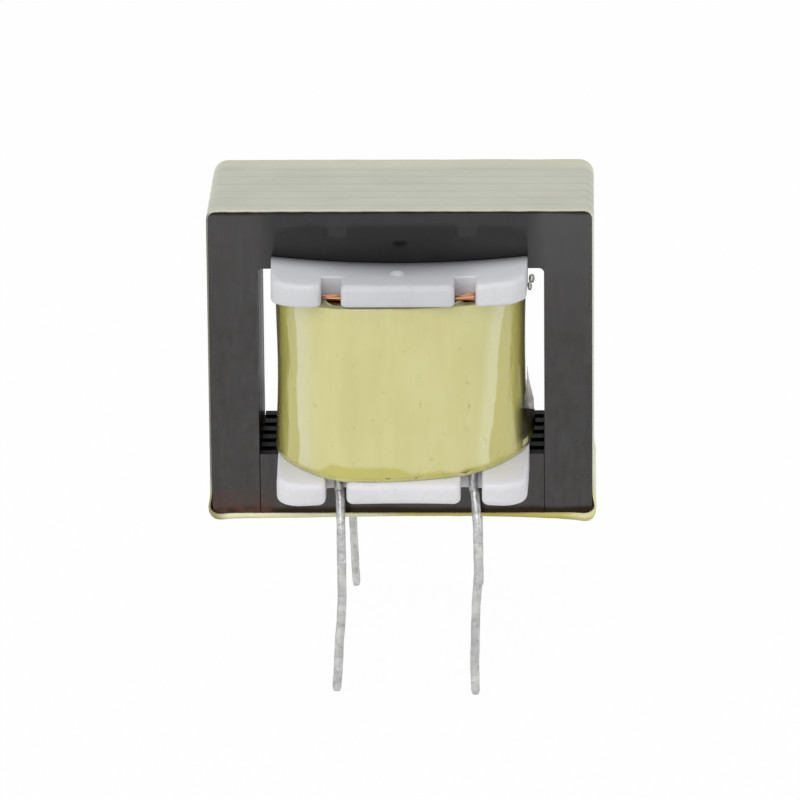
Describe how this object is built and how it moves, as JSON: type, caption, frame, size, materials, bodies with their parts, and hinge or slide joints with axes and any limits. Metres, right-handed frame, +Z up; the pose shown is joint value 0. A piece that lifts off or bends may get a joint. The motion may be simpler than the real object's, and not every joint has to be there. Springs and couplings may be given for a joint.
{
  "type": "pcb transformer",
  "caption": "Miniature laminated transformer with an upright notched bobbin, tape-wrapped coil and tinned wire leads for a circuit board.",
  "frame": {"origin": "middle of the seating face, the underside of the film round the core, half way between the front and rear sheets of the core", "axes": "+X across the core from the left leg to the right leg seen from the front, +Y from the front sheet to the rear sheet through the stack, +Z up away from the board, the leads point down along -Z"},
  "size_m": [0.0144, 0.0142, 0.0176],
  "materials": {
    "core_steel": "satin",
    "bobbin_nylon": "satin",
    "enamelled_copper": "gloss",
    "polyester_tape": "gloss",
    "polyester_film": "gloss",
    "tinned_wire": "satin"
  },
  "bodies": {
    "root": {"e_sheet_01": "core_steel", "e_sheet_02": "core_steel", "e_sheet_03": "core_steel", "e_sheet_04": "core_steel", "e_sheet_05": "core_steel", "e_sheet_06": "core_steel", "e_sheet_07": "core_steel", "e_sheet_08": "core_steel", "e_sheet_09": "core_steel", "e_sheet_10": "core_steel", "e_sheet_11": "core_steel", "closing_bar_01": "core_steel", "closing_bar_02": "core_steel", "closing_bar_03": "core_steel", "closing_bar_04": "core_steel", "closing_bar_05": "core_steel", "closing_bar_06": "core_steel", "closing_bar_07": "core_steel", "closing_bar_08": "core_steel", "closing_bar_09": "core_steel", "closing_bar_10": "core_steel", "closing_bar_11": "core_steel", "bobbin": "bobbin_nylon", "primary_winding": "enamelled_copper", "layer_tape": "polyester_tape", "secondary_winding": "enamelled_copper", "coil_tape": "polyester_tape", "core_film": "polyester_film", "lead_front_left": "tinned_wire", "lead_front_right": "tinned_wire", "lead_rear_left": "tinned_wire", "lead_rear_right": "tinned_wire"}
  },
  "joints": []
}
